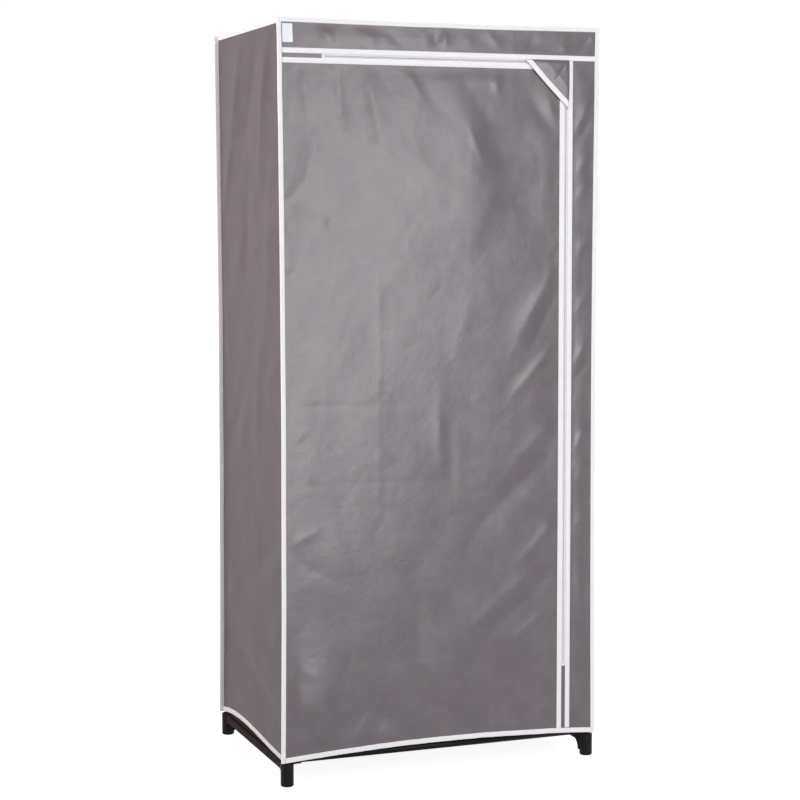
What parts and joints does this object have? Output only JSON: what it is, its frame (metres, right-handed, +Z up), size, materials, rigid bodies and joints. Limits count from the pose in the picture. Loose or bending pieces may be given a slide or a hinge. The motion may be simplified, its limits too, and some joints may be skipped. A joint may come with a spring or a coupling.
{
  "type": "portable fabric wardrobe",
  "caption": "Portable wardrobe: a steel tube frame with a hanging rail on moulded footed ends, inside a grey cloth cover with white bindings and a zipped corner flap as its door.",
  "frame": {"origin": "middle of the footprint at the floor, under the feet", "axes": "+Z up, the zipped front faces -Y, +X is to the right of someone who faces the front"},
  "size_m": [0.7, 0.47, 1.54],
  "materials": {
    "cover_cloth": "matt non-woven cloth",
    "white_tape": "woven binding tape, white",
    "black_steel": "black powder coat",
    "black_plastic": "black moulded plastic, semi-matt",
    "zip_coil": "white nylon coil and tape",
    "zip_metal": "bright plated slider",
    "label_cloth": "bare sewn label"
  },
  "bodies": {
    "cabinet": {"cover_front_panel": "cover_cloth", "cover_strip_right": "cover_cloth", "cover_header": "cover_cloth", "cover_left": "cover_cloth", "cover_right": "cover_cloth", "cover_back": "cover_cloth", "cover_roof": "cover_cloth", "floor_cloth": "cover_cloth", "corner_guard": "cover_cloth", "seam_front_left": "white_tape", "seam_front_right": "white_tape", "seam_back_left": "white_tape", "seam_back_right": "white_tape", "roof_seam_front": "white_tape", "roof_seam_back": "white_tape", "roof_seam_left": "white_tape", "roof_seam_right": "white_tape", "hem_front": "white_tape", "hem_back": "white_tape", "hem_left": "white_tape", "hem_right": "white_tape", "header_binding": "white_tape", "panel_top_binding": "white_tape", "panel_side_binding": "white_tape", "strip_binding": "white_tape", "guard_binding": "white_tape", "base_rail_front": "black_steel", "base_rail_rear": "black_steel", "top_rail_front": "black_steel", "top_rail_rear": "black_steel", "hanging_rail": "black_steel", "post_lower_front_left": "black_steel", "post_lower_front_right": "black_steel", "post_lower_back_left": "black_steel", "post_lower_back_right": "black_steel", "post_upper_front_left": "black_steel", "post_upper_front_right": "black_steel", "post_upper_back_left": "black_steel", "post_upper_back_right": "black_steel", "base_end_left": "black_plastic", "base_end_right": "black_plastic", "top_end_left": "black_plastic", "top_end_right": "black_plastic", "post_coupling_front_left": "black_plastic", "post_coupling_front_right": "black_plastic", "post_coupling_back_left": "black_plastic", "post_coupling_back_right": "black_plastic", "zip_top_fixed": "zip_coil", "zip_side_fixed": "zip_coil", "sewn_label": "label_cloth"},
    "flap": {"door_flap": "cover_cloth", "flap_top_binding": "white_tape", "flap_side_binding": "white_tape", "zip_top_flap": "zip_coil", "zip_side_flap": "zip_coil"},
    "slider_top": {"zip_slider_top": "zip_metal"},
    "slider_side": {"zip_slider_side": "zip_metal"},
    "pull_top": {"pull_tab_top": "zip_metal"},
    "pull_side": {"pull_tab_side": "zip_metal"}
  },
  "joints": [
    {"name": "flap_fold", "type": "hinge", "parent": "cabinet", "child": "flap", "pos_m": [-0.228, -0.2355, 1.4617], "axis": [0.3753, 0, -0.9269], "range_deg": [0, 165], "deforming": ["corner_guard", "guard_binding"]},
    {"name": "top_zip_slide", "type": "slide", "parent": "cabinet", "child": "slider_top", "axis": [-1, 0, 0], "range_m": [0, 0.4925]},
    {"name": "side_zip_slide", "type": "slide", "parent": "cabinet", "child": "slider_side", "axis": [0, 0, -1], "range_m": [0, 1.2255]},
    {"name": "top_pull_turn", "type": "hinge", "parent": "slider_top", "child": "pull_top", "pos_m": [0.252, -0.23045, 1.466], "axis": [0, 0, -1], "range_deg": [0, 170]},
    {"name": "side_pull_turn", "type": "hinge", "parent": "slider_side", "child": "pull_side", "pos_m": [0.275, -0.23045, 1.443], "axis": [-1, 0, 0], "range_deg": [0, 170]}
  ]
}
